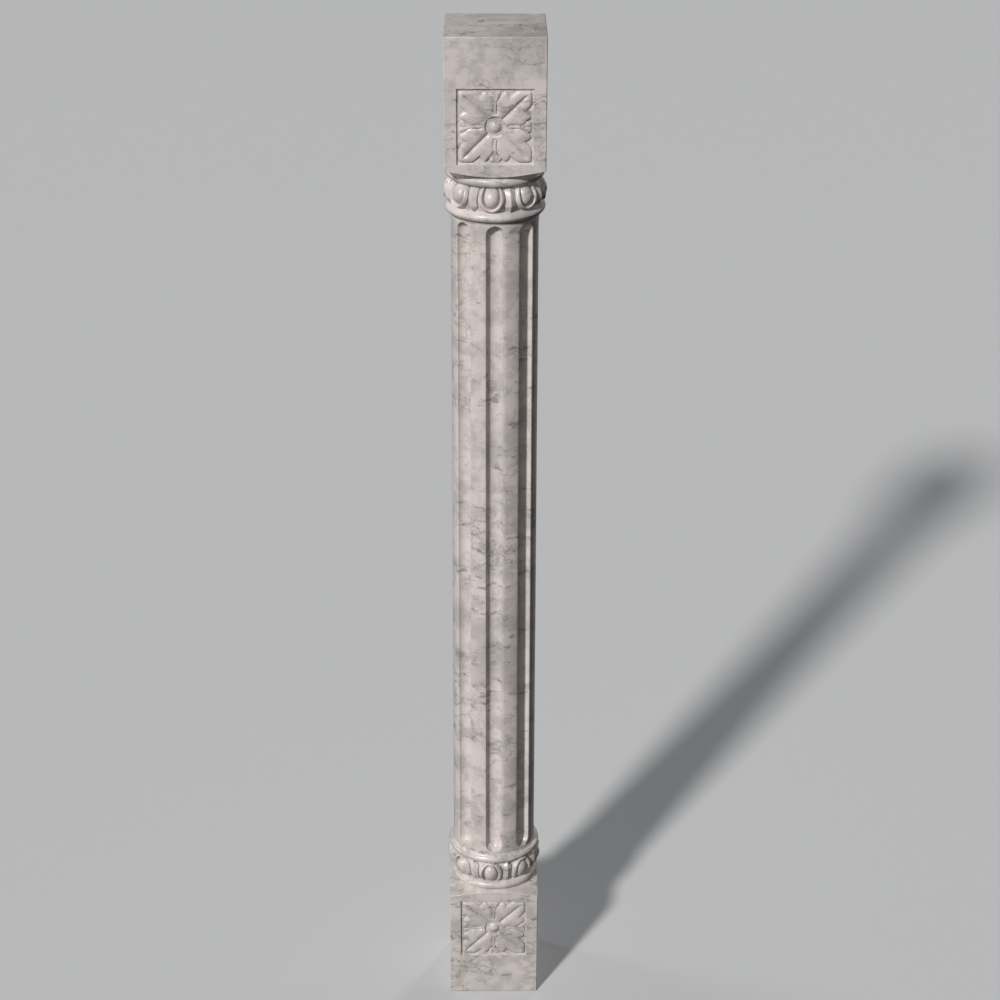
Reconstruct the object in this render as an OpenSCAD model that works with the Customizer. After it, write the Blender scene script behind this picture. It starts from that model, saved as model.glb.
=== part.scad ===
// Square-ended fluted column, turned and carved from one block of marble.
// It stands on its underside, centred on the origin, with its front towards -Y.
// The top half is the bottom half turned over, apart from the taper of the shaft.

/* [Column] */
// Height from the floor to the top bed
column_h = 1118; // [700:2:2000]
// Width of the square blocks at both ends
block_w = 100; // [80:1:140]
// Height of a block at its corners
block_h = 132; // [105:1:200]
// Flat cut along each sharp edge of a block
arris = 0.8; // [0.3:0.1:3]
// Height of the turned shoulder between a block's corners and its bead
shoulder_h = 8; // [3:0.5:20]

/* [Shaft] */
// Diameter of the shaft at its foot
shaft_foot_d = 93; // [74:1:120]
// Diameter of the shaft at its head
shaft_head_d = 90; // [70:1:116]
// Number of flutes
flute_count = 8; // [4:1:12]
// Width of a flute across its lips
flute_w = 18.4; // [8:0.2:22]
// Plain length between the cove and the end of a flute
flute_stop = 1; // [0.5:0.5:40]

/* [Rings] */
// Height of the bead next to a block
block_bead_h = 10; // [5:0.5:14]
// Projection of the bead next to a block beyond the foot of the shaft
block_bead_out = 3.5; // [1:0.5:8]
// Height of the bead next to the shaft
shaft_bead_h = 11; // [5:0.5:16]
// Projection of the bead next to the shaft beyond the foot of the shaft
shaft_bead_out = 4.5; // [1:0.5:8]
// Radius of the cove between that bead and the shaft
cove_r = 3; // [1:0.5:6]
// Height of the egg-and-dart ring
ring_h = 25; // [18:0.5:36]
// Projection of the shells beyond the foot of the shaft
ring_out = 6; // [3:0.5:10]
// Radius of the ring's rounded profile
ring_arc_r = 26; // [20:1:60]
// Distance from the quirk to the widest level of the ring
ring_crown = 15; // [8:0.5:20]
// Depth of the carving in the ring
ring_relief = 5; // [2:0.5:6]

/* [Eggs and darts] */
// Number of eggs, and of darts between them, round a ring
egg_count = 8; // [6:1:9]
// Turn of the eggs round the column, away from the middle of a face
egg_turn = -4.5; // [-22:0.5:22]
// Width of an egg
egg_w = 16; // [10:0.5:18]
// Gap between an egg and its shell
egg_gap = 1.2; // [0.5:0.1:2]
// Width of the lip of a shell
shell_w = 5; // [2:0.25:6]
// Width of a dart
dart_w = 9.5; // [6:0.5:12]

/* [Rosette panels] */
// Side of the square panel on each face of a block
panel_w = 76; // [50:1:94]
// Plain border between a panel and the level of its block's inner corners
panel_border = 6; // [3:0.5:30]
// Depth of the sunk ground of a panel
panel_d = 2.4; // [0.8:0.1:4]
// Depth of the bowl round the middle ball, and of the channels between the leaves
channel_d = 2.8; // [1:0.1:5]
// Diameter of the ball in the middle of a rosette, where it leaves the bowl
ball_d = 12.6; // [8:0.2:16]
// Projection of the ball beyond the face of the block
ball_proud = 0.5; // [0:0.1:3]

/* [Hidden] */
$fn = 64;
slack = 1;
marble = [0.72, 0.69, 0.67];

// Levels, measured from either end of the column.
shoulder_z = block_h + shoulder_h;
ring_z = shoulder_z + block_bead_h;
ring_end_z = ring_z + ring_h;
shaft_z = ring_end_z + shaft_bead_h;
cove_z = shaft_z + cove_r;
flute_z = cove_z + flute_stop;
panel_z = block_h - panel_border - panel_w / 2;

// Radii.
foot_r = shaft_foot_d / 2;
head_r = shaft_head_d / 2;
block_bead_r = foot_r + block_bead_out;
shaft_bead_r = foot_r + shaft_bead_out;
ring_r = foot_r + ring_out;
corner_r = block_w / sqrt(2);

// The ring's profile is an arc about this centre, and its ground is a smaller one.
ring_arc_x = ring_r - ring_arc_r;
ring_arc_z = ring_z + ring_crown;
ground_arc_r = ring_arc_r - ring_relief;
shell_outer_w = egg_w + 2 * (egg_gap + shell_w);

// Radius of the ground where it is deepest, and where the carving starts inside it.
ground_low_r = ring_arc_x + sqrt(pow(ground_arc_r, 2) - pow(max(ring_crown, ring_h - ring_crown), 2));
carve_r = sqrt(pow(ground_low_r, 2) - pow(shell_outer_w / 2, 2)) - slack;

flute_r = flute_w / 2;
// The round ends of a flute are this much wider than its straight part, to meet it cleanly.
end_over = 0.02;

// The ball is a cap of a sphere of this radius.
ball_h = channel_d + ball_proud;
ball_r = (pow(ball_d / 2, 2) + pow(ball_h, 2)) / (2 * ball_h);
arc_steps = 8;

// Half the width of an egg-shaped outline at the fraction v of its length,
// from 0 at its blunt end, where it is cut off, to 1 at its tip.
egg_cut = 0.62;
egg_wide = 0.42;
function egg_half(w, v) = v < egg_wide
    ? w / 2 * sqrt(1 - pow((egg_wide - v) / egg_wide * egg_cut, 2))
    : w / 2 * sqrt(max(0, 1 - pow((v - egg_wide) / (1 - egg_wide), 2)));

// Outline of an egg or a shell as [across, up], blunt end at 0, tip at len.
// The steps crowd towards the tip, where the outline turns fastest.
function egg_side(w, len) = [
    for (i = [0:arc_steps]) let (v = sin(90 * i / arc_steps))
        [i == arc_steps ? 0 : egg_half(w, v), v * len]
];
function both_sides(side) = concat(
    side,
    [for (i = [len(side) - 1:-1:0]) if (side[i][0] > 0) [-side[i][0], side[i][1]]]
);

// Solid of revolution of the ring's arc, pulled in by inset, with a core inside it.
module ring_body(inset, low, high) {
    rotate_extrude()
        intersection() {
            union() {
                translate([ring_arc_x, ring_arc_z])
                    circle(r = ring_arc_r - inset, $fn = 128);
                translate([0, low])
                    square([carve_r + slack, high - low]);
            }
            translate([0, low])
                square([ring_r + slack, high - low]);
        }
}

// A flat outline in the tangent plane, carried outwards from inside the carved ground.
module radial_prism(turn) {
    rotate([0, 0, turn])
        translate([0, -carve_r, 0])
            rotate([90, 0, 0])
                linear_extrude(ring_r + slack - carve_r)
                    children();
}

// Shell round an egg: its lip laps over the bead beside the shaft, and is narrower there.
lip_over = 1.8;
lip_tip = 0.75;
shell_len = ring_h + lip_over;
egg_len = shell_len - shell_w * lip_tip - egg_gap;
function turn_of(i) = egg_turn + 360 / egg_count * i;

module shell_outline() {
    difference() {
        translate([0, ring_z])
            polygon(both_sides(egg_side(shell_outer_w, shell_len)));
        translate([0, ring_z - slack])
            polygon(both_sides(egg_side(egg_w + 2 * egg_gap, egg_len + egg_gap + slack)));
    }
}

// Dart between two shells, a little lower than they are, with barbs and a point
// towards the shaft.
dart_low = 0.6;
barb_out = 1;
point_len = 5.5;
module dart_outline() {
    w = dart_w / 2;
    z = [ring_z, ring_end_z + lip_over - 2 * point_len, ring_end_z + lip_over - point_len];
    polygon([
        [w, z[0]], [w, z[1]], [w + barb_out, z[2]], [0, z[2] + point_len],
        [-w - barb_out, z[2]], [-w, z[1]], [-w, z[0]]
    ]);
}

// Egg: turned about its own upright axis, so that it stands just proud of its shell.
egg_proud = 0.4;
module egg(turn) {
    rotate([0, 0, turn])
        translate([0, egg_w / 2 - ring_r - egg_proud, ring_z])
            rotate_extrude()
                polygon(concat([[0, 0]], egg_side(egg_w, egg_len)));
}

module egg_ring() {
    ring_body(ring_relief, ring_z - slack, ring_end_z + slack);
    intersection() {
        ring_body(0, ring_z, ring_end_z + lip_over);
        for (i = [0:egg_count - 1])
            radial_prism(turn_of(i))
                shell_outline();
    }
    intersection() {
        ring_body(dart_low, ring_z, ring_end_z + lip_over);
        for (i = [0:egg_count - 1])
            radial_prism(turn_of(i + 0.5))
                dart_outline();
    }
    for (i = [0:egg_count - 1])
        egg(turn_of(i));
}

// A bead is a half-round moulding standing out of the neck.
module bead(z, h, r) {
    translate([0, 0, z])
        cylinder(r = r - h / 2, h = h);
    rotate_extrude()
        translate([r - h / 2, z + h / 2])
            circle(d = h);
}

// Square block with cut arrises, under the turned shoulder.
module block_plan() {
    w = block_w / 2;
    a = w - arris;
    polygon([[w, -a], [w, a], [a, w], [-a, w], [-w, a], [-w, -a], [-a, -w], [a, -w]]);
}
module block_side(turn) {
    w = block_w / 2;
    top = shoulder_z + slack;
    rotate([90, 0, turn])
        linear_extrude(block_w + slack, center = true)
            polygon([[-w, top], [-w, arris], [arris - w, 0], [w - arris, 0], [w, arris], [w, top]]);
}
module block_body() {
    intersection() {
        linear_extrude(shoulder_z)
            block_plan();
        block_side(0);
        block_side(90);
        union() {
            cylinder(r = corner_r, h = block_h);
            translate([0, 0, block_h])
                cylinder(r1 = corner_r, r2 = block_bead_r - block_bead_h / 2, h = shoulder_h);
        }
    }
}

// Rosette, drawn for a panel that reaches from -1 to 1. The outline of a leaf runs from
// the stem slot in the middle of a side to the corner, and is mirrored about the diagonal.
leaf_half = [
    [0, 0.34], [0.05, 0.40], [0.045, 0.55], [0.03, 0.65], [0.06, 0.70],
    [0.18, 0.84], [0.22, 0.89], [0.29, 0.90], [0.345, 0.85], [0.38, 0.745],
    [0.57, 0.925], [0.88, 0.925]
];
sepal_half = [[0.014, 0.39], [0.02, 0.66], [0.05, 0.75], [0.12, 0.86], [0.11, 0.91]];
function swapped(points) = [for (i = [len(points) - 1:-1:0]) [points[i][1], points[i][0]]];

module leaf() {
    polygon(concat([[0, 0]], leaf_half, swapped(leaf_half)));
}
// Opens from the stem between two leaves.
module sepal() {
    polygon(both_sides(sepal_half));
}
module panel_ground() {
    difference() {
        square(2, center = true);
        for (turn = [0:90:270])
            rotate(turn) {
                leaf();
                sepal();
            }
    }
}
// The bowl round the ball runs out along the four diagonals as narrowing channels.
bowl_r = 0.26;
channel_half = [[0.13, 0], [0.12, 0.25], [0.02, 1.12]];
module channels() {
    circle(r = bowl_r, $fn = 48);
    for (turn = [45:90:315])
        rotate(turn)
            polygon(both_sides(channel_half));
}

// What is cut away to leave one rosette, under a face that looks along +Z.
module panel_cut() {
    s = panel_w / 2;
    difference() {
        union() {
            translate([0, 0, -panel_d])
                linear_extrude(panel_d + slack)
                    scale(s)
                        panel_ground();
            translate([0, 0, -channel_d])
                linear_extrude(channel_d + slack)
                    scale(s)
                        channels();
        }
        translate([0, 0, ball_proud - ball_r])
            sphere(r = ball_r);
    }
}
module block() {
    difference() {
        block_body();
        for (turn = [0:90:270])
            rotate([0, 0, turn])
                translate([0, -block_w / 2, panel_z])
                    rotate([90, 0, 0])
                        panel_cut();
    }
}

// Hollow quarter round that leads from the bead beside the shaft into a shaft of radius r.
// It runs a hair into the shaft, to meet it cleanly.
cove_in = 0.1;
module cove(r) {
    rotate_extrude()
        difference() {
            translate([0, shaft_z - shaft_bead_h / 2])
                square([r + cove_r, shaft_bead_h / 2 + cove_r - cove_in]);
            translate([r + cove_r - cove_in, shaft_z + cove_r])
                circle(r = cove_r);
        }
}

// Everything between one end and the shaft, whose radius there is r.
module end_piece(r) {
    block();
    bead(shoulder_z, block_bead_h, block_bead_r);
    egg_ring();
    bead(ring_end_z, shaft_bead_h, shaft_bead_r);
    cove(r);
}

// Tapered shaft with its two coves, from the middle of one bead to the other.
function shaft_r(z) = foot_r + (head_r - foot_r) * (z - flute_z) / (column_h - 2 * flute_z);
module shaft_body() {
    z0 = shaft_z - slack;
    z1 = column_h - z0;
    translate([0, 0, z0])
        cylinder(r1 = shaft_r(z0), r2 = shaft_r(z1), h = z1 - z0);
}
// Round-ended flute that keeps its width while the shaft tapers: its axis leans with the shaft.
module flute(turn) {
    edge = cos(asin(flute_r / foot_r));
    low = flute_z + flute_r;
    high = column_h - low;
    lean = atan2((shaft_r(low) - shaft_r(high)) * edge, high - low);
    length = (high - low) / cos(lean);
    rotate([0, 0, turn])
        translate([0, -shaft_r(low) * edge, low])
            rotate([-lean, 0, 0])
                rotate(-90) {
                    cylinder(r = flute_r, h = length);
                    for (z = [0, length])
                        translate([0, 0, z])
                            sphere(r = flute_r + end_over);
                }
}
module shaft() {
    difference() {
        shaft_body();
        for (i = [0:flute_count - 1])
            flute(360 / flute_count * i);
    }
}

module column() {
    color(marble) {
        shaft();
        end_piece(foot_r);
        translate([0, 0, column_h])
            mirror([0, 0, 1])
                end_piece(head_r);
    }
}

column();
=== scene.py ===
import bpy
import numpy as np
from mathutils import Matrix, Vector


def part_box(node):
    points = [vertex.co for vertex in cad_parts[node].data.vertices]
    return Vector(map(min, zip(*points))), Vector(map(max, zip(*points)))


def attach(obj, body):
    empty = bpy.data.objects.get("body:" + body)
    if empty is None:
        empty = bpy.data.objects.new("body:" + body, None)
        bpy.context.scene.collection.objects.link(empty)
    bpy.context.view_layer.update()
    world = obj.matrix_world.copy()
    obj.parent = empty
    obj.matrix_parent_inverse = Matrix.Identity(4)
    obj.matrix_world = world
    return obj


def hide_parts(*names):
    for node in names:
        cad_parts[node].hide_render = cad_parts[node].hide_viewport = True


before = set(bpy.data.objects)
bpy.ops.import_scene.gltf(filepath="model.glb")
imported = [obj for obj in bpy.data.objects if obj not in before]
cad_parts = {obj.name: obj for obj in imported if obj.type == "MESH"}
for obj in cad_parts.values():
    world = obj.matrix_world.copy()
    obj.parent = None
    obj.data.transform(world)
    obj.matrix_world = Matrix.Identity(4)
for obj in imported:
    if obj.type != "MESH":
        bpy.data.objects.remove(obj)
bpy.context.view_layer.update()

columnLow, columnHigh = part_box("column")
columnHeight = columnHigh[2] - columnLow[2]

# The column in metres. Levels are measured from either end, because the top half is the
# bottom half turned over.
column = {
    "blockWidth": 0.100,
    "blockHeight": 0.132,       # at the corners of a block
    "shoulderHeight": 0.008,    # turned cone between a block and its bead
    "shoulderRows": 8,
    "arris": 0.0008,            # flat cut along each sharp edge
    "shoulderEdges": (0.0005, 0.0002),  # and between a face and the shoulder, below and above
    "edgeRun": 1.6,             # that edge is cut back by so many times its depth
    "blockBeadHeight": 0.010,
    "blockBeadRadius": 0.050,
    "shaftBeadHeight": 0.011,
    "shaftBeadRadius": 0.051,
    "shaftBeadStart": 0.12,     # it is turned from this angle above its middle on
    "coveRadius": 0.003,
    "footRadius": 0.0465,
    "headRadius": 0.045,
    "borderColumns": 40,        # points along each side of a block's face
    "beadRows": 10,
    "shaftBeadRows": 6,
    "coveRows": 5,
    "sharpAngle": np.radians(31),   # edges that bend more than this are shaded sharp
}

# Shaft and its flutes.
shaft = {
    "flutes": 8,
    "fluteWidth": 0.0184,
    "fluteStop": 0.001,         # plain length between the cove and a flute
    "lip": 0.0004,              # softened edge of a flute: its width and its drop
    "lipDrop": 0.0002,
    "endMargin": 1.05,          # a flute's end starts so much wider than where it would vanish
    "plainRow": 0.0006,         # distance of the first plain row beyond a flute
    "fluteSteps": 12,           # columns from the middle of a flute to its lip
    "landSteps": 4,
    "endRows": 12,
    "longRows": 10,
}

# Egg-and-dart ring: outlines in the tangent plane, heights above the ground of the ring.
ring = {
    "eggs": 8,
    "turn": np.radians(-4.5),   # the eggs stand a little off the middle of each face
    "height": 0.025,
    "radius": 0.0525,
    "profileRadius": 0.026,     # the ring bulges along an arc of this radius
    "crown": 0.015,             # from the quirk to the widest level
    "quirkRadius": 0.0438,
    "quirkHeight": 0.0007,
    "quirkRows": (-0.0004, -0.0002),    # levels of the two rows in it
    "relief": 0.0054,
    "shares": (1.0, 0.90),      # of the lengths below that are cut, on each ring
    "gapDepth": 0.0018,         # the groove round an egg lies below the ground
    "eggWidth": 0.0166,
    "eggLength": 0.0224,
    "eggHeight": 0.0058,
    "eggWidest": 0.42,          # share of its length at which an egg or shell is widest
    "eggBlunt": 0.62,           # and how far it rounds in again before the quirk cuts it off
    "shellInner": 0.0184,
    "shellInnerLength": 0.0234,
    "shellOuter": 0.0292,
    "shellOuterLength": 0.0268,
    "shellHeight": 0.0050,
    "shellCut": 0.10,           # share of a half turn missing at each side of its section
    "shellPower": 0.55,         # below 1 the section is flat on top and steep at the sides
    "dartHeight": 0.0048,
    "dartEdge": 0.54,           # height of a dart's edge against its ridge
    "dartLevels": (0.0, 0.011, 0.0170, 0.0205, 0.0268),     # its half width at these levels
    "dartHalves": (0.0056, 0.0048, 0.0048, 0.0056, 0.0),
    "dartTip": 0.75,            # height at its point against the rest, and where it sets in
    "dartTipReach": 0.002,
    "lapReach": 0.001,          # over the bead beside the shaft the carving is lower
    "lapSink": 0.28,
    "wall": 0.00035,            # footprint of a steep side
    "tipRows": (10, 10, 18),    # rows up to the tips of egg, shell's inside and shell's outside
    "beyondStart": 0.0003,      # and from this far beyond the last tip to the bead's middle
    "beyondRows": 5,
    "eggColumns": 6,            # columns over half an egg, a shell, the ground and half a dart
    "shellColumns": 6,
    "groundColumns": 2,
    "dartColumns": 3,
    "grooveLines": (0.3, 0.85),     # shares of the way from an egg to its shell
    "leastRow": 0.00009,        # rows and columns stay at least so far apart
    "leastColumn": 0.00003,
}

# Rosette panel: outlines on a panel that reaches from -1 to 1, depths in metres below the face.
rosette = {
    "panelWidth": 0.076,
    "panelLevel": 0.088,
    "groundDepth": 0.0024,
    "footCut": 0.0010,          # the ground is cut deeper along the foot of the leaves
    "footReach": 0.03,
    "wall": 0.0006,
    "ball": 0.166,
    "ballProud": 0.0005,
    "bowl": 0.246,
    "bowlDepth": 0.0028,
    "bowlRise": 0.036,
    "valleyDepth": 0.0031,
    "valleyEnds": (0.25, 1.15),         # distances from the middle
    "valleyWidths": (0.062, 0.034),     # at these ends
    "valleyFade": (1.19, 1.06),         # it runs out between these distances
    "slotEnd": 0.66,            # beyond this the ground lies beside the stem
    "slotDepth": 0.0023,
    "stemDepth": 0.0005,
    "fold": 0.0008,             # depth, reach and beginning of the sepal's fold
    "foldReach": 0.03,
    "foldStart": (0.66, 0.74),
    "tipDrop": 0.0006,          # the sepal's tip sinks between these distances
    "tipRange": (0.84, 0.92),
    "swell": 0.0005,            # leaves stand lower at their edges by this much
    "swellReach": 0.13,
    "edge": 0.0010,             # and their edges are rounded
    "edgeReach": 0.028,
    "corner": (0.915, 0.915),   # where the grid's last leaf ring meets the diagonal
    "leaf": [
        (0.0, 0.34), (0.055, 0.385), (0.062, 0.47), (0.035, 0.63), (0.06, 0.70), (0.18, 0.84),
        (0.22, 0.89), (0.255, 0.905), (0.29, 0.90), (0.345, 0.85), (0.38, 0.745), (0.57, 0.925),
        (0.87, 0.925), (0.91, 0.91),
    ],
    "sepal": [
        (0.016, 0.39), (0.022, 0.66), (0.05, 0.75), (0.12, 0.86), (0.11, 0.905), (0.0, 0.915),
    ],
    "angleSteps": (2, 2, 10, 8),    # columns over stem, slot, leaf and valley, in an eighth
    # Lines that these columns follow: distances from the middle, and half widths there.
    "stemLine": ((0.39, 0.66, 0.75, 0.86, 0.91), (0.014, 0.02, 0.05, 0.12, 0.11)),
    "slotLine": (
        (0.39, 0.47, 0.63, 0.70, 0.86, 0.91),
        (0.057, 0.063, 0.036, 0.06, 0.20, 0.23),
    ),
    "valleyLine": ((0.25, 1.15), (0.10, 0.06)),
    "valleyShare": 0.9,         # of the valley's angle that its columns take up
    "leastLine": 0.2,           # the lines aren't followed nearer to the middle than this
    "fullLine": 0.40,           # and are followed in full from here outwards
    "ballStart": 0.08,          # angle of the ball's first ring
    "ballRings": 6,
    "floorRings": (0.178, 0.21),
    "bowlRings": 4,
    "leafRings": 16,
    "leafCrowding": 1.4,        # above 1 they crowd towards the leaf's edge
    "groundRings": (0.35, 0.7),     # shares of the way from the leaf's foot to the panel's wall
    "faceRing": 1.012,
}


# Meshes are built from patches that share the points of their borders.

patchPoints = []
patchFaces = []


def addPatch(points, faces, flip=False):
    # Points are any array of x, y, z; faces is a list of index arrays, one for each face size.
    points = np.asarray(points, float).reshape(-1, 3)
    start = sum(len(p) for p in patchPoints)
    patchPoints.append(points)
    for face in faces:
        face = np.asarray(face) + start
        patchFaces.append(face[:, ::-1] if flip else face)


def gridFaces(rows, columns, closed):
    # Quads of a grid: each joins two neighbouring columns on two neighbouring rows.
    starts = np.arange(columns if closed else columns - 1)
    i, j = np.meshgrid(np.arange(rows - 1), starts, indexing="ij")
    k = (j + 1) % columns
    low = i * columns
    high = low + columns
    return np.stack([low + j, low + k, high + k, high + j], -1).reshape(-1, 4)


def zipFaces(lowerAngles, upperAngles):
    # Triangles between two closed loops: going round, each next point of either loop, in the
    # order of their angles, makes a triangle with the latest point of the other loop.
    n, m = len(lowerAngles), len(upperAngles)
    start = min(lowerAngles[0], upperAngles[0])
    events = np.concatenate([np.append(lowerAngles[1:], lowerAngles[0] + 2 * np.pi),
                             np.append(upperAngles[1:], upperAngles[0] + 2 * np.pi)]) - start
    fromLower = np.arange(n + m) < n
    order = np.argsort(events, kind="stable")
    fromLower = fromLower[order]
    lower = np.cumsum(fromLower) - fromLower
    upper = np.cumsum(~fromLower) - ~fromLower
    last = np.where(fromLower, (lower + 1) % n, n + (upper + 1) % m)
    return np.stack([lower % n, last, n + upper % m], -1)


def xyz(x, y, z):
    # Points from arrays or single numbers.
    return np.stack(np.broadcast_arrays(x, y, z), -1)


def onCircle(radius, angle, height):
    # The angle runs from the front (-Y) towards the right side (+X).
    return xyz(radius * np.sin(angle), -radius * np.cos(angle), height)


def addRevolved(radii, heights, angles):
    # Surface of revolution: every profile point is carried round the axis.
    points = onCircle(radii[:, None], angles[None, :], heights[:, None])
    addPatch(points, [gridFaces(len(radii), len(angles), True)])
    return points


def addZip(lower, upper, lowerAngles, upperAngles):
    addPatch(np.concatenate([lower, upper]), [zipFaces(lowerAngles, upperAngles)])


def spread(knots, steps):
    # Values between neighbouring knots, in even steps; the last knot closes the row.
    parts = [
        knots[i][..., None] + (knots[i + 1] - knots[i])[..., None] * (np.arange(n) / n)
        for i, n in enumerate(steps)
    ]
    return np.concatenate(parts + [knots[-1][..., None]], -1)


def smoothStep(low, high, value):
    t = np.clip((value - low) / (high - low), 0, 1)
    return t * t * (3 - 2 * t)


# Rosette.

def outlineDistance(x, y, outline):
    # Distance to the nearest side of a closed outline, negative inside it.
    corners = np.asarray(outline)
    sides = np.roll(corners, -1, 0) - corners
    away = np.stack([x, y], -1)[..., None, :] - corners
    along = np.clip((away * sides).sum(-1) / (sides * sides).sum(-1), 0, 1)
    near = np.sqrt(((away - along[..., None] * sides) ** 2).sum(-1)).min(-1)
    above = corners[:, 1] > y[..., None]
    crosses = above != np.roll(above, -1, -1)
    slope = sides[:, 0] / np.where(sides[:, 1] == 0, 1e-12, sides[:, 1])
    left = x[..., None] < corners[:, 0] + (y[..., None] - corners[:, 1]) * slope
    inside = (crosses & left).sum(-1) % 2 == 1
    return np.where(inside, -near, near)


def closedLeaf():
    # Outline of the corner leaf. Towards the middle it runs on past the axes, so that none of
    # its sides lies along an axis.
    half = rosette["leaf"]
    start = half[0][1]
    past = -0.5
    mirrored = [(y, x) for x, y in half[-2::-1]]
    return [(past, past), (past, start)] + half + mirrored + [(start, past)]


def leafEdge(angle):
    # Distance from the middle to the outline of leaf or sepal, in the direction of an angle
    # between 0, the middle of a side, and 45 degrees. The sepal's tip comes first, and the
    # leaf follows from where it stands out behind the sepal.
    corners = rosette["sepal"][:-3:-1] + rosette["leaf"][5:] + [rosette["corner"]]
    corners = np.array(corners)
    sides = len(corners) - 1
    perSide = 60
    along = np.linspace(0, sides, perSide * sides + 1)
    x = np.interp(along, np.arange(sides + 1), corners[:, 0])
    y = np.interp(along, np.arange(sides + 1), corners[:, 1])
    return np.interp(angle, np.arctan2(x, y), np.hypot(x, y))


def rosetteDepth(x, y):
    # Depth below the face. The pattern repeats in eighths, so a point is first folded into one.
    size = rosette["panelWidth"] / 2
    wall = rosette["wall"] / size
    a = np.minimum(abs(x), abs(y))
    b = np.maximum(abs(x), abs(y))
    radius = np.hypot(a, b)
    leaf = outlineDistance(a, b, closedLeaf())
    mirrored = [(-p, q) for p, q in rosette["sepal"][-2::-1]]
    sepal = outlineDistance(a, b, mirrored + rosette["sepal"])

    # The leaf swells from its rounded edge inwards.
    inside = np.minimum(leaf, 0)
    depth = rosette["swell"] * np.exp(inside / rosette["swellReach"])
    depth = depth + rosette["edge"] * np.exp(inside / rosette["edgeReach"])
    # The valley along the diagonal is a sharp V with rounded shoulders.
    across = (b - a) / np.sqrt(2)
    along = (a + b) / np.sqrt(2)
    width = np.interp(along, rosette["valleyEnds"], rosette["valleyWidths"])
    end = smoothStep(*rosette["valleyFade"], along)
    depth = depth + (rosette["valleyDepth"] - depth) * end * np.exp(-across / width)
    # The bowl round the ball.
    bowl = smoothStep(rosette["bowl"] + rosette["bowlRise"], rosette["bowl"], radius)
    depth = np.maximum(depth, depth + (rosette["bowlDepth"] - depth) * bowl)
    # Outside the leaf lies the ground, or the slot beside the stem.
    inSlot = b < rosette["slotEnd"]
    away = np.maximum(leaf - wall, 0)
    foot = rosette["footCut"] * np.exp(-away / rosette["footReach"])
    floor = np.where(inSlot, rosette["slotDepth"], rosette["groundDepth"] + foot)
    outside = smoothStep(0, wall, leaf)
    depth = depth + (floor - depth) * outside
    # The stem and its sepal rise out of the ground; the sepal is folded along its middle.
    fold = rosette["fold"] * np.exp(-a / rosette["foldReach"])
    fold = fold * smoothStep(*rosette["foldStart"], b)
    drop = rosette["tipDrop"] * smoothStep(*rosette["tipRange"], b)
    top = rosette["stemDepth"] + fold + drop
    raised = smoothStep(wall, 0, sepal)
    depth = depth + (np.minimum(top, depth) - depth) * raised
    # The ball is a cap of a sphere.
    rim = rosette["ball"] * size
    rise = rosette["bowlDepth"] + rosette["ballProud"]
    ballRadius = (rim * rim + rise * rise) / (2 * rise)
    cap = np.sqrt(np.maximum(ballRadius ** 2 - (radius * size) ** 2, 0)) - (ballRadius - rise)
    return np.where(radius <= rosette["ball"] + 1e-9, rosette["bowlDepth"] - cap, depth)


def rosetteGrid():
    # Polar grid round the ball. Its rings follow the outline of the leaves, and its columns
    # follow the stem, the slot beside it and the valley on the diagonal.
    steps = rosette["angleSteps"]
    size = rosette["panelWidth"] / 2
    wall = rosette["wall"] / size
    eighth = np.pi / 4
    turns = np.linspace(rosette["ballStart"], np.pi / 2, rosette["ballRings"])
    rim = rosette["bowl"] + rosette["bowlRise"]
    slope = np.linspace(rosette["bowl"], rim, rosette["bowlRings"])
    inner = np.concatenate([rosette["ball"] * np.sin(turns), rosette["floorRings"], slope])
    even = np.linspace(0, eighth, sum(steps) + 1)

    # Even angles give a first guess of each ring's distance from the middle. The angles then
    # follow the lines of the carving, and the distances are taken again.
    left = 1 - np.linspace(0, 1, rosette["leafRings"] + 1)[1:]
    t = 1 - left ** rosette["leafCrowding"]
    outer = leafEdge(even)
    rings = [np.full_like(even, r) for r in inner]
    rings += [rim + (outer - rim) * k for k in t]
    radius = np.array(rings)
    stem = np.interp(radius[:, 0], *rosette["stemLine"])
    slot = np.interp(radius[:, 0], *rosette["slotLine"])
    valley = np.interp(radius[:, 0], *rosette["valleyLine"])
    level = np.maximum(radius[:, 0], rosette["leastLine"])
    knots = [
        np.zeros(len(radius)),
        np.arcsin(stem / level),
        np.arcsin(slot / level),
        eighth - np.arcsin(valley / level) * rosette["valleyShare"],
        np.full(len(radius), eighth),
    ]
    shaped = spread(knots, steps)
    follow = smoothStep(rim, rosette["fullLine"], radius[:, :1])
    angle = even + (shaped - even) * follow
    outer = leafEdge(angle)
    radius[len(inner):] = rim + (outer[len(inner):] - rim) * t[:, None]

    # Outside the leaves: foot of the leaf's side, ground, panel's wall and the face's first ring.
    last = angle[-1]
    side = 1 / np.cos(last)
    foot = outer[-1] + wall
    wallFoot = (1 - wall) * side
    ground = [foot + (wallFoot - foot) * share for share in rosette["groundRings"]]
    extra = [foot] + ground + [wallFoot, side, side * rosette["faceRing"]]
    radius = np.concatenate([radius, np.array(extra)])
    angle = np.concatenate([angle, np.repeat(last[None, :], len(extra), 0)])

    # Mirror the eighth into a side, and the side into four, as columns round the middle.
    turned = []
    far = []
    for k in range(4):
        turned += [k * np.pi / 2 - angle[:, :0:-1], k * np.pi / 2 + angle[:, :-1]]
        far += [radius[:, :0:-1], radius[:, :-1]]
    turned = np.concatenate(turned, 1)
    far = np.concatenate(far, 1)
    x = far * np.cos(turned)
    y = far * np.sin(turned)
    depth = rosetteDepth(x, y)
    depth[-2:] = 0
    depth[-3] = rosette["groundDepth"]
    return x * size, y * size, depth


# Blocks.

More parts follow.
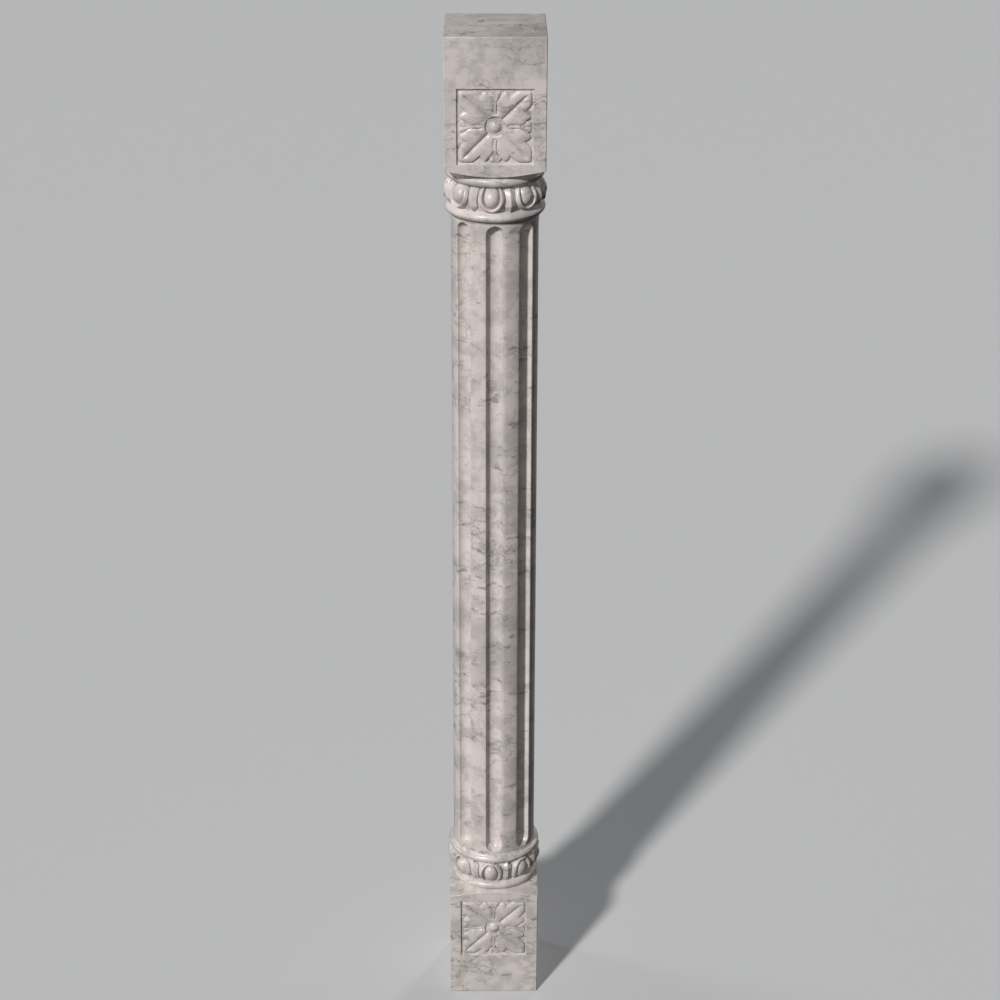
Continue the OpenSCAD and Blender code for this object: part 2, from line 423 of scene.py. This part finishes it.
def shoulderHeight(radius):
    # Level of the turned cone at a radius.
    corner = column["blockWidth"] / np.sqrt(2)
    root = column["blockBeadRadius"] - column["blockBeadHeight"] / 2
    return column["blockHeight"] + column["shoulderHeight"] * (corner - radius) / (corner - root)


def turnedPoints(points, quarters):
    # Quarter turns about the axis, from one side of the block to the next.
    c, s = np.cos(quarters * np.pi / 2), np.sin(quarters * np.pi / 2)
    return points @ np.array([[c, s, 0], [-s, c, 0], [0, 0, 1]])


def faceBorder(shoulderEdge):
    # Loop round the flat of a face, anticlockwise from outside: bottom, right, top, left.
    half = column["blockWidth"] / 2
    edge = half - column["arris"]
    n = column["borderColumns"]
    x = np.linspace(-edge, edge, n)
    top = shoulderHeight(np.hypot(x, half)) - shoulderEdge
    z = np.linspace(column["arris"], top[0], n)
    bottom = np.stack([x, np.full(n, column["arris"])], -1)
    right = np.stack([np.full(n, edge), z], -1)
    upper = np.stack([x, top], -1)
    left = right * (-1, 1)
    return bottom, right, upper, left


def anglesRound(loop):
    # Angles of the points of a loop on a face, about the middle of its panel.
    return np.unwrap(np.arctan2(loop[:, 2] - rosette["panelLevel"], loop[:, 0]))


def beadAngles():
    n = 4 * column["borderColumns"]
    return (np.arange(n) + 0.5) * 2 * np.pi / n - np.pi / 4


def addBlock(shoulderEdge):
    half = column["blockWidth"] / 2
    edge = half - column["arris"]
    bottom, right, upper, left = faceBorder(shoulderEdge)
    x, z, depth = rosetteGrid()
    relief = xyz(x, depth - half, z + rosette["panelLevel"])
    panel = gridFaces(*x.shape, True)
    cap = np.arange(x.shape[1])[None, :]

    # The panel's last ring and the border of the face are zipped from the same angle on.
    loop = relief[-1]
    loopAngles = anglesRound(loop)
    border = np.concatenate([bottom[:-1], right[:-1], upper[::-1][:-1], left[::-1][:-1]])
    border = xyz(border[:, 0], -half, border[:, 1])
    first = np.argmax(anglesRound(border) >= loopAngles[0])
    border = np.roll(border, -first, 0)
    borderAngles = anglesRound(border)
    borderAngles += 2 * np.pi * np.round((loopAngles[0] - borderAngles[0]) / (2 * np.pi))
    face = np.concatenate([loop, border])
    faceZip = zipFaces(loopAngles, borderAngles)

    # Cut arrises up the corner and along the bottom edge, and between them at the corner.
    this = xyz(right[:, 0], -half, right[:, 1])
    other = xyz(half, -right[:, 0], right[:, 1])
    above = xyz(bottom[:, 0], -half, bottom[:, 1])
    below = xyz(bottom[:, 0], -edge, 0)
    upright = np.stack([this, other], 1)
    level = np.stack([below, above], 0)
    corner = np.stack([below[-1], other[0], this[0]])
    for k in range(4):
        addPatch(turnedPoints(relief, k), [panel], flip=True)
        addPatch(turnedPoints(relief[0], k), [cap])
        addPatch(turnedPoints(face, k), [faceZip], flip=True)
        addPatch(turnedPoints(upright, k), [gridFaces(len(right), 2, False)])
        addPatch(turnedPoints(level, k), [gridFaces(2, len(bottom), False)])
        addPatch(turnedPoints(corner, k), [np.array([[0, 1, 2]])])
    under = np.concatenate([turnedPoints(below[:-1], k) for k in range(4)])
    addPatch(under, [np.arange(len(under))[None, ::-1]])

    # Turned shoulder: from the top of the square block in to a circle.
    line = xyz(upper[:, 0], -half, upper[:, 1])
    line = np.concatenate([turnedPoints(line, k) for k in range(4)])
    fromAngle = np.unwrap(np.arctan2(line[:, 0], -line[:, 1]))
    toAngle = beadAngles()
    fromRadius = np.hypot(line[:, 0], line[:, 1])
    root = column["blockBeadRadius"] - column["blockBeadHeight"] / 2
    t = np.linspace(0, 1, column["shoulderRows"])[:, None]
    inside = fromRadius - column["edgeRun"] * shoulderEdge
    radius = np.concatenate([fromRadius[None, :], inside + (root - inside) * t])
    height = shoulderHeight(radius)
    height[0] -= shoulderEdge
    t = np.concatenate([t[:1], t])
    angle = fromAngle + (toAngle - fromAngle) * smoothStep(0, 1, t)
    points = onCircle(radius, angle, height)
    addPatch(points, [gridFaces(len(t), len(toAngle), True)])


# Rings.

def eggHalf(width, length, level):
    # Half width of an egg-shaped outline, blunt and cut off at the quirk, round at its tip.
    wide = ring["eggWidest"] * length
    blunt = np.clip((wide - level) / wide * ring["eggBlunt"], 0, 1)
    tip = np.clip((level - wide) / (length - wide), 0, 1)
    return width / 2 * np.where(level < wide, np.sqrt(1 - blunt ** 2), np.sqrt(1 - tip ** 2))


def eggNorm(across, level, width, length):
    # 0 at the middle of an egg-shaped outline and 1 on it.
    wide = ring["eggWidest"] * length
    blunt = (wide - level) / wide * ring["eggBlunt"]
    tip = (level - wide) / (length - wide)
    part = np.where(level < wide, blunt, tip)
    return np.sqrt((across / (width / 2)) ** 2 + part ** 2)


def dartHalf(level):
    # Half width of a dart: nearly straight, then barbed, then pointed.
    return np.interp(level, ring["dartLevels"], ring["dartHalves"])


def ringGround(level):
    # Radius of the ring's ground, or of the bead beside the shaft where that stands further out.
    centre = ring["radius"] - ring["profileRadius"]
    inner = ring["profileRadius"] - ring["relief"]
    ground = centre + np.sqrt(inner ** 2 - (level - ring["crown"]) ** 2)
    small = column["shaftBeadHeight"] / 2
    rise = np.clip(small ** 2 - (level - ring["height"] - small) ** 2, 0, None)
    bead = np.where(level > ring["height"], column["shaftBeadRadius"] - small + np.sqrt(rise), 0)
    return np.maximum(ground, bead)


def ringHeight(across, level, fromDart):
    # Height above the ground: egg, groove, shell or dart, whichever the point lies in.
    egg = eggNorm(across, level, ring["eggWidth"], ring["eggLength"])
    inner = eggNorm(across, level, ring["shellInner"], ring["shellInnerLength"])
    outer = eggNorm(across, level, ring["shellOuter"], ring["shellOuterLength"])
    rise = np.where(inner < 1 - 1e-6, -ring["gapDepth"], 0)
    dome = ring["eggHeight"] * np.sqrt(np.clip(1 - egg ** 2, 0, 1))
    rise = np.where(egg < 1, np.maximum(dome, rise), rise)
    # A shell is a rounded band between two egg-shaped outlines, with steep sides.
    part = np.clip((inner - 1) / np.maximum((inner - 1) + (1 - outer), 1e-9), 0, 1)
    cut = ring["shellCut"]
    section = np.sin(np.pi * (cut + (1 - 2 * cut) * part))
    shell = ring["shellHeight"] * section ** ring["shellPower"]
    inShell = (inner >= 1 - 1e-6) & (outer <= 1 + 1e-6)
    rise = np.where(inShell, shell, rise)
    # A dart is folded along its middle and sinks towards its point.
    half = np.maximum(dartHalf(level), 1e-6)
    fold = 1 - (1 - ring["dartEdge"]) * np.clip(fromDart / half, 0, 1)
    barb, end = ring["dartLevels"][-2:]
    point = ring["dartTip"]
    point = point + (1 - point) * smoothStep(end, barb - ring["dartTipReach"], level)
    inDart = (fromDart <= half + 1e-7) & (level < end)
    return np.where(inDart & ~inShell, ring["dartHeight"] * fold * point, rise)


def ringLevels(share):
    # Rows crowd towards each tip, where the outlines turn fastest.
    tips = (ring["eggLength"], ring["shellInnerLength"], ring["shellOuterLength"])
    rows = []
    for tip, n in zip(tips, ring["tipRows"]):
        rows.append(share * tip * np.sin(np.linspace(0, np.pi / 2, n)))
    crown = ring["height"] + column["shaftBeadHeight"] / 2
    rows.append(np.linspace(share * tips[-1] + ring["beyondStart"], crown, ring["beyondRows"]))
    level = np.unique(np.round(np.concatenate(rows), 5))
    return level[np.append(True, np.diff(level) > ring["leastRow"])]


def addRing(end):
    base = column["blockHeight"] + column["shoulderHeight"] + column["blockBeadHeight"]
    base = base + ring["quirkHeight"]
    sector = 2 * np.pi / ring["eggs"]
    halfPitch = sector / 2 * ring["radius"]
    level = ringLevels(ring["shares"][end])[:, None]
    drawn = level / ring["shares"][end]     # level on the outlines, which are drawn in full
    egg = eggHalf(ring["eggWidth"], ring["eggLength"], drawn)
    inner = eggHalf(ring["shellInner"], ring["shellInnerLength"], drawn)
    outer = eggHalf(ring["shellOuter"], ring["shellOuterLength"], drawn)
    dart = dartHalf(drawn)
    wall = ring["wall"]
    middle = (outer + halfPitch - dart) / 2
    past = drawn > ring["shellOuterLength"] + 1e-6

    # Lines that the columns follow from the middle of an egg to the middle of a dart, each
    # with its number of columns up to the next line.
    lines = []
    for k in range(ring["eggColumns"] + 1):
        lines.append((egg * np.sin(np.pi / 2 * k / ring["eggColumns"]), 1))
    lines += [(egg + (inner - egg) * share, 1) for share in ring["grooveLines"]]
    lines += [
        (inner, ring["shellColumns"]),
        (outer, 1),
        (np.minimum(outer + wall, middle), ring["groundColumns"]),
        (np.maximum(halfPitch - dart - wall, middle), 1),
        (halfPitch - dart, ring["dartColumns"]),
        (np.full_like(egg, halfPitch), 0),
    ]
    even = np.linspace(0, halfPitch, len(lines))
    knots = [np.where(past, even[i], line)[:, 0] for i, (line, n) in enumerate(lines)]
    across = spread(knots, [n for line, n in lines[:-1]])
    apart = np.arange(across.shape[1]) * ring["leastColumn"]
    across = np.maximum.accumulate(across - apart, 1) + apart
    across = np.minimum(across, halfPitch - apart[::-1])
    rise = np.where(past, 0, ringHeight(across, drawn, halfPitch - across))
    lap = smoothStep(ring["height"] - ring["lapReach"], ring["shellOuterLength"], level)
    radius = ringGround(level) + rise * (1 - ring["lapSink"] * lap)

    # The half pitch is mirrored about the egg and repeated round the ring.
    angle = across / ring["radius"]
    angle = np.concatenate([-angle[:, :0:-1], angle[:, :-1]], 1)
    radius = np.concatenate([radius[:, :0:-1], radius[:, :-1]], 1)
    angle = np.concatenate([angle + k * sector for k in range(ring["eggs"])], 1) + ring["turn"]
    radius = np.concatenate([radius] * ring["eggs"], 1)

    # Two rows stand in the quirk, behind the cut ends of the eggs.
    quirk = np.full_like(radius[:1], ring["quirkRadius"])
    angle = np.concatenate([angle[:1], angle[:1], angle])
    radius = np.concatenate([quirk, quirk, radius])
    level = np.concatenate([np.array(ring["quirkRows"])[:, None], level])
    points = onCircle(radius, angle, base + level)
    addPatch(points, [gridFaces(len(level), angle.shape[1], True)])
    return points, angle


def coveTop():
    heights = ("blockHeight", "shoulderHeight", "blockBeadHeight", "shaftBeadHeight", "coveRadius")
    return sum(column[key] for key in heights) + ring["height"]


def addEnd(end):
    # Everything between one end and the shaft: end is 0 below and 1 above.
    shaftRadius = (column["footRadius"], column["headRadius"])[end]
    addBlock(column["shoulderEdges"][end])
    around = beadAngles()
    small = column["blockBeadHeight"] / 2
    turn = np.linspace(-np.pi / 2, np.pi / 2, column["beadRows"] + 1)
    root = column["blockBeadRadius"] - small
    base = column["blockHeight"] + column["shoulderHeight"] + small
    bead = addRevolved(root + small * np.cos(turn), base + small * np.sin(turn), around)
    ringPoints, ringAngles = addRing(end)
    addZip(bead[-1], ringPoints[0], around, ringAngles[0])

    # Upper half of the bead beside the shaft, then a cove into the shaft.
    small = column["shaftBeadHeight"] / 2
    middle = base + column["blockBeadHeight"] / 2 + ring["height"] + small
    cove = column["coveRadius"]
    meet = np.arccos((shaftRadius + cove - column["shaftBeadRadius"] + small) / small)
    turn = np.linspace(column["shaftBeadStart"], meet, column["shaftBeadRows"])
    radii = column["shaftBeadRadius"] - small + small * np.cos(turn)
    heights = middle + small * np.sin(turn)
    hollow = np.linspace(0, np.pi / 2, column["coveRows"])[1:]
    coveLow = heights[-1]
    coveHigh = coveTop()
    radii = np.append(radii, shaftRadius + cove * (1 - np.sin(hollow)))
    heights = np.append(heights, coveLow + (coveHigh - coveLow) * (1 - np.cos(hollow)))
    foot = addRevolved(radii, heights, around)
    addZip(ringPoints[-1], foot[0], ringAngles[-1], around)
    return foot[-1], around


# Shaft.

def fluteRow(fluteRadius, circleRadius, shaftRadius):
    # One level of the fluted shaft: angles and radii over half a pitch. Inside a flute the
    # points lie on a circle about a centre on the flute's chord, and on the land they lie on
    # the shaft.
    pitch = np.pi / shaft["flutes"]
    centre = np.sqrt(shaftRadius ** 2 - fluteRadius ** 2)
    cosLip = np.clip((circleRadius ** 2 - fluteRadius ** 2) / (2 * centre * circleRadius), -1, 1)
    turn = np.arccos(cosLip) * np.linspace(0, 1, shaft["fluteSteps"] + 1)
    across = circleRadius * np.sin(turn)
    out = centre - circleRadius * np.cos(turn)
    angle = np.arctan2(across, out)
    radius = np.hypot(across, out)
    radius[-1] -= shaft["lipDrop"]
    start = angle[-1] + shaft["lip"] / shaftRadius
    land = np.linspace(start, pitch, shaft["landSteps"] + 1)[:-1]
    return np.append(angle, land), np.append(radius, np.full(len(land), shaftRadius))


def shaftRadiusAt(height):
    low = coveTop() + shaft["fluteStop"]
    t = (height - low) / (columnHeight - 2 * low)
    return column["footRadius"] + (column["headRadius"] - column["footRadius"]) * t


def addShaft():
    pitch = np.pi / shaft["flutes"]
    flute = shaft["fluteWidth"] / 2
    low = coveTop() + shaft["fluteStop"] + flute
    high = columnHeight - low
    # A flute ends in part of a sphere. Its circle gets smaller up to where it would no longer
    # reach the surface of the shaft. There its radius is about the square of the flute's
    # radius over twice the distance of the circle's centre from the axis.
    centre = np.sqrt(column["footRadius"] ** 2 - flute ** 2)
    smallest = flute ** 2 / (2 * centre) * shaft["endMargin"]
    turns = np.linspace(np.arcsin(smallest / flute), np.pi / 2, shaft["endRows"])
    endSizes = flute * np.sin(turns)
    sizes = np.concatenate([endSizes, np.full(shaft["longRows"], flute), endSizes[::-1]])
    drop = flute * np.cos(turns)
    inside = np.linspace(low, high, shaft["longRows"] + 2)[1:-1]
    levels = np.concatenate([low - drop, inside, high + drop[::-1]])
    angles = []
    radii = []
    for level, size in zip(levels, sizes):
        angle, radius = fluteRow(flute, size, shaftRadiusAt(level))
        angles.append(angle)
        radii.append(radius)
    angles = np.array(angles)
    radii = np.array(radii)
    n = angles.shape[1]

    # A plain row beyond each end of the flutes closes them.
    plain = np.arange(n) * pitch / n
    first = levels[0] - shaft["plainRow"]
    last = levels[-1] + shaft["plainRow"]
    levels = np.concatenate([[first], levels, [last]])
    angles = np.concatenate([[plain], angles, [plain]])
    firstRow = np.full((1, n), shaftRadiusAt(first))
    lastRow = np.full((1, n), shaftRadiusAt(last))
    radii = np.concatenate([firstRow, radii, lastRow])
    half = np.concatenate([np.full((len(levels), 1), pitch), angles[:, :0:-1]], 1)
    landRadius = shaftRadiusAt(levels)[:, None]
    angle = np.concatenate([-half, angles], 1)
    radius = np.concatenate([landRadius, radii[:, :0:-1], radii], 1)
    angle = np.concatenate([angle + k * 2 * pitch for k in range(shaft["flutes"])], 1)
    radius = np.concatenate([radius] * shaft["flutes"], 1)
    points = onCircle(radius, angle, levels[:, None])
    addPatch(points, [gridFaces(len(levels), angle.shape[1], True)])
    return points, angle[0]


def addTurnedOver(firstPatch, firstFace):
    # Turns over, about mid-height, all patches from the first one given on.
    points = np.concatenate(patchPoints[firstPatch:])
    faces = patchFaces[firstFace:]
    turned = points * (1, 1, -1) + (0, 0, columnHeight)
    del patchPoints[firstPatch:]
    del patchFaces[firstFace:]
    patchPoints.append(turned)
    patchFaces.extend([f[:, ::-1] for f in faces])


def buildMesh(name):
    # Welds the borders of the patches and makes one closed mesh.
    points = np.concatenate(patchPoints)
    keys = np.round(points * 1e6).astype(np.int64)
    _, first, welded = np.unique(keys, axis=0, return_index=True, return_inverse=True)
    welded = welded.reshape(-1)
    faces = []
    for face in patchFaces:
        faces += welded[face].tolist()
    mesh = bpy.data.meshes.new(name)
    mesh.from_pydata(points[first].tolist(), [], faces)
    mesh.validate()
    mesh.update()
    piece = bpy.data.objects.new(name, mesh)
    bpy.context.scene.collection.objects.link(piece)
    return piece


print("building the column")
footLine, around = addEnd(0)
shaftPoints, shaftAngles = addShaft()
addZip(footLine, shaftPoints[0], around, shaftAngles)
patchStart, faceStart = len(patchPoints), len(patchFaces)
headLine, around = addEnd(1)
addTurnedOver(patchStart, faceStart)
headLine = headLine * (1, 1, -1) + (0, 0, columnHeight)
addZip(shaftPoints[-1], headLine, shaftAngles, around)
carved = buildMesh("carvedColumn")
print("faces", len(carved.data.polygons), "vertices", len(carved.data.vertices))

carved.data.set_sharp_from_angle(angle=column["sharpAngle"])
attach(carved, "root")
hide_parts("column")


# Marble. Patterns are given in repeats per metre.
marble = {
    "pale": (0.680, 0.622, 0.598),
    "grey": (0.515, 0.482, 0.459),
    "shadow": (0.400, 0.374, 0.352),    # broad darker drifts
    "vein": (0.110, 0.098, 0.086),
    "roughness": (0.28, 0.38),
    "drift": (13, 0.026),               # how often and how far the patterns wander
    "clouds": (40, (0.44, 0.60)),       # repeats, and range over which pale turns grey
    # Broad drifts: repeats, squeeze along the column, range and strength.
    "broad": (8, 1.2, (0.50, 0.68), 0.55),
    "grain": (420, (0.15, 0.35)),       # repeats, and range over which the polish gets duller
    # Each set of veins: repeats, half width, squeeze along the column, repeats and
    # range of the mask that breaks them up, and strength.
    "veins": (
        (7, 0.0048, 2.3, 9, (0.45, 0.57), 0.76),
        (17, 0.0085, 2.4, 14, (0.50, 0.61), 0.64),
        (38, 0.0170, 1.9, 13, (0.52, 0.66), 0.36),
    ),
    "halo": (5.0, 0.20),                # soft stain along a vein: reach in half widths, strength
    # Short dark smudges that lie across the column, given in the way of the broad drifts.
    "smudges": (34, 3.2, (0.630, 0.69), 0.50),
    "bump": (160, 0.12, 0.0004),        # repeats, strength and depth
    # The sets are cut from different parts of the same noise.
    "shifts": {"broad": 0.7, "veins": 1.3, "masks": 3.1, "smudges": 5.7},
}


def addNode(tree, kind, links=(), **values):
    # A node with its settings and input values, with _ for a space in an input's name; links
    # joins its inputs to sockets of earlier nodes.
    node = tree.nodes.new(kind)
    for name, value in values.items():
        if hasattr(node, name):
            setattr(node, name, value)
        else:
            node.inputs[name.replace("_", " ")].default_value = value
    for name, socket in links:
        tree.links.new(socket, node.inputs[name])
    return node.outputs


def addRange(tree, value, low, high, toLow=0.0, toHigh=1.0):
    # Smooth step from one range to another.
    return addNode(tree, "ShaderNodeMapRange", [("Value", value)], interpolation_type="SMOOTHSTEP",
                   From_Min=low, From_Max=high, To_Min=toLow, To_Max=toHigh)["Result"]


def isSocket(value):
    return isinstance(value, bpy.types.NodeSocket)


def setInput(tree, target, value):
    # An input is joined to a socket or set to a fixed value.
    if isSocket(value):
        tree.links.new(value, target)
    else:
        target.default_value = value


def addMix(tree, factor, first, second):
    # Blend of two colours; either is a socket or a fixed colour. This node has an input for
    # each kind of value: 6 and 7 are its colours, and 2 is its colour output.
    node = tree.nodes.new("ShaderNodeMix")
    node.data_type = "RGBA"
    setInput(tree, node.inputs[0], factor)
    for index, colour in ((6, first), (7, second)):
        setInput(tree, node.inputs[index], colour if isSocket(colour) else (*colour, 1))
    return node.outputs[2]


def addMaths(tree, operation, first, second, kind="ShaderNodeMath"):
    node = tree.nodes.new(kind)
    node.operation = operation
    setInput(tree, node.inputs[0], first)
    setInput(tree, node.inputs[1], second)
    return node.outputs[0]


def addVectorMaths(tree, operation, first, second):
    return addMaths(tree, operation, first, second, "ShaderNodeVectorMath")


def addNoise(tree, vector, repeats, detail=6.0, rough=0.6):
    return addNode(tree, "ShaderNodeTexNoise", [("Vector", vector)],
                   Scale=repeats, Detail=detail, Roughness=rough)


def addSqueezed(tree, vector, squeeze, shift):
    # Pattern squeezed along the column, and moved so that no two sets run together.
    return addNode(tree, "ShaderNodeMapping", [("Vector", vector)], Scale=(1, 1, squeeze),
                   Location=(shift, 2 * shift, 3 * shift))["Vector"]


def marbleMaterial():
    material = bpy.data.materials.new("marble")
    material.use_nodes = True
    tree = material.node_tree
    shader = tree.nodes["Principled BSDF"]
    place = addNode(tree, "ShaderNodeTexCoord")["Object"]

    # Everything is drawn on drifted coordinates: place plus a slow random wander.
    shifts = marble["shifts"]
    repeats, far = marble["drift"]
    wander = addNoise(tree, place, repeats, 4.0)["Color"]
    wander = addVectorMaths(tree, "SUBTRACT", wander, (0.5, 0.5, 0.5))
    wander = addVectorMaths(tree, "MULTIPLY", wander, (far, far, far))
    drifted = addVectorMaths(tree, "ADD", place, wander)

    repeats, (low, high) = marble["clouds"]
    clouds = addNoise(tree, drifted, repeats, 8.0, 0.72)["Fac"]
    colour = addMix(tree, addRange(tree, clouds, low, high), marble["pale"], marble["grey"])
    repeats, squeeze, (low, high), strength = marble["broad"]
    squeezed = addSqueezed(tree, drifted, squeeze, shifts["broad"])
    broad = addNoise(tree, squeezed, repeats, 6.0, 0.66)["Fac"]
    colour = addMix(tree, addRange(tree, broad, low, high, 0.0, strength), colour, marble["shadow"])

    # A vein lies where a noise passes through its middle value.
    widths, stain = marble["halo"]
    for index, vein in enumerate(marble["veins"]):
        repeats, half, squeeze, maskRepeats, (low, high), strength = vein
        squeezed = addSqueezed(tree, drifted, squeeze, shifts["veins"] + index)
        field = addNoise(tree, squeezed, repeats, 7.0, 0.62)["Fac"]
        away = addMaths(tree, "ABSOLUTE", addMaths(tree, "SUBTRACT", field, 0.5), 0.0)
        halo = addRange(tree, away, 0.0, half * widths, stain, 0.0)
        line = addMaths(tree, "MAXIMUM", addRange(tree, away, 0.0, half, 1.0, 0.0), halo)
        shifted = addSqueezed(tree, place, 1.0, shifts["masks"] + index)
        mask = addNoise(tree, shifted, maskRepeats, 3.0)["Fac"]
        mask = addRange(tree, mask, low, high, 0.0, strength)
        colour = addMix(tree, addMaths(tree, "MULTIPLY", line, mask), colour, marble["vein"])
    repeats, squeeze, (low, high), strength = marble["smudges"]
    squeezed = addSqueezed(tree, drifted, squeeze, shifts["smudges"])
    smudge = addNoise(tree, squeezed, repeats, 5.0, 0.55)["Fac"]
    colour = addMix(tree, addRange(tree, smudge, low, high, 0.0, strength), colour, marble["vein"])
    tree.links.new(colour, shader.inputs["Base Color"])

    repeats, (low, high) = marble["grain"]
    grain = addMaths(tree, "MULTIPLY", clouds, addNoise(tree, place, repeats, 3.0)["Fac"])
    polish = addRange(tree, grain, low, high, *marble["roughness"])
    tree.links.new(polish, shader.inputs["Roughness"])
    repeats, strength, deep = marble["bump"]
    rough = addNoise(tree, drifted, repeats, 5.0, 0.7)["Fac"]
    bump = addNode(tree, "ShaderNodeBump", [("Height", rough)], Strength=strength, Distance=deep)
    tree.links.new(bump["Normal"], shader.inputs["Normal"])
    return material


print("marble")
carved.data.materials.clear()
carved.data.materials.append(marbleMaterial())


# Camera, floor and lights.

studio = {
    "lens": 80.35,                          # millimetres
    "sensor": 36,
    "place": (-0.00837, -2.1588, 0.5046),   # height above the column's top
    "down": np.radians(25.171),
    "turn": np.radians(-0.380),
    "roll": np.radians(0.168),
}


def addCamera():
    data = bpy.data.cameras.new("camera")
    data.lens = studio["lens"]
    data.sensor_width = studio["sensor"]
    camera = bpy.data.objects.new("camera", data)
    bpy.context.scene.collection.objects.link(camera)
    turn, down, roll = studio["turn"], studio["down"], studio["roll"]
    ahead = Vector((-np.sin(turn), np.cos(turn), 0))
    across = Vector((np.cos(turn), np.sin(turn), 0))
    rise = Vector((0, 0, 1))
    forward = ahead * np.cos(down) - rise * np.sin(down)
    level = ahead * np.sin(down) + rise * np.cos(down)
    right = across * np.cos(roll) + level * np.sin(roll)
    up = level * np.cos(roll) - across * np.sin(roll)
    x, y, z = studio["place"]
    camera.matrix_world = Matrix((
        (right.x, up.x, -forward.x, x),
        (right.y, up.y, -forward.y, y),
        (right.z, up.z, -forward.z, z + columnHeight),
        (0, 0, 0, 1),
    ))
    bpy.context.scene.camera = camera


floorLook = {
    "size": 40.0,
    "colour": (0.60, 0.61, 0.62),
    "roughness": 0.9,
}


def addFloor():
    half = floorLook["size"] / 2
    corners = [(-half, -half, 0), (half, -half, 0), (half, half, 0), (-half, half, 0)]
    mesh = bpy.data.meshes.new("floor")
    mesh.from_pydata(corners, [], [(0, 1, 2, 3)])
    floor = bpy.data.objects.new("floor", mesh)
    bpy.context.scene.collection.objects.link(floor)
    material = bpy.data.materials.new("floorPaint")
    material.use_nodes = True
    shader = material.node_tree.nodes["Principled BSDF"]
    shader.inputs["Base Color"].default_value = (*floorLook["colour"], 1)
    shader.inputs["Roughness"].default_value = floorLook["roughness"]
    mesh.materials.append(material)
    floor.visible_diffuse = False   # a pale floor would wash the shade out of the carving
    floor.visible_glossy = False


# Each light: bearing from the front towards the right, height angle, how wide it looks,
# strength, colour, whether it shows in the polish and whether it casts a shadow. They are
# far away, so that both ends of the column are lit alike.
lights = {
    "key": (-30, 34, 5, 2.90, (1.0, 0.98, 0.965), True, True),
    "fill": (-30, 34, 5, 0.58, (1.0, 0.98, 0.965), False, False),
    "leftEdge": (-112, 14, 14, 0.75, (0.84, 0.92, 1.0), False, True),
    "rightEdge": (118, 6, 14, 0.25, (0.90, 0.95, 1.0), True, True),
    "back": (152, 8, 12, 2.10, (1.0, 0.99, 0.98), False, True),
}
sky = {"colour": (0.92, 0.95, 1.0), "strength": 0.030}


def addLights():
    for name, (bearing, rise, wide, strength, colour, glossy, shadow) in lights.items():
        data = bpy.data.lights.new(name, "SUN")
        data.angle = np.radians(wide)
        data.energy = strength
        data.color = colour
        data.use_shadow = shadow
        light = bpy.data.objects.new(name, data)
        light.visible_glossy = glossy
        bpy.context.scene.collection.objects.link(light)
        bearing, rise = np.radians(bearing), np.radians(rise)
        out = np.cos(rise)
        away = Vector((np.sin(bearing) * out, -np.cos(bearing) * out, np.sin(rise)))
        light.rotation_euler = away.to_track_quat("Z", "Y").to_euler()
    world = bpy.data.worlds.new("studio")
    world.use_nodes = True
    background = world.node_tree.nodes["Background"]
    background.inputs["Color"].default_value = (*sky["colour"], 1)
    background.inputs["Strength"].default_value = sky["strength"]
    bpy.context.scene.world = world
    bpy.context.scene.view_settings.view_transform = "Standard"


print("camera, floor and lights")
addCamera()
addFloor()
addLights()
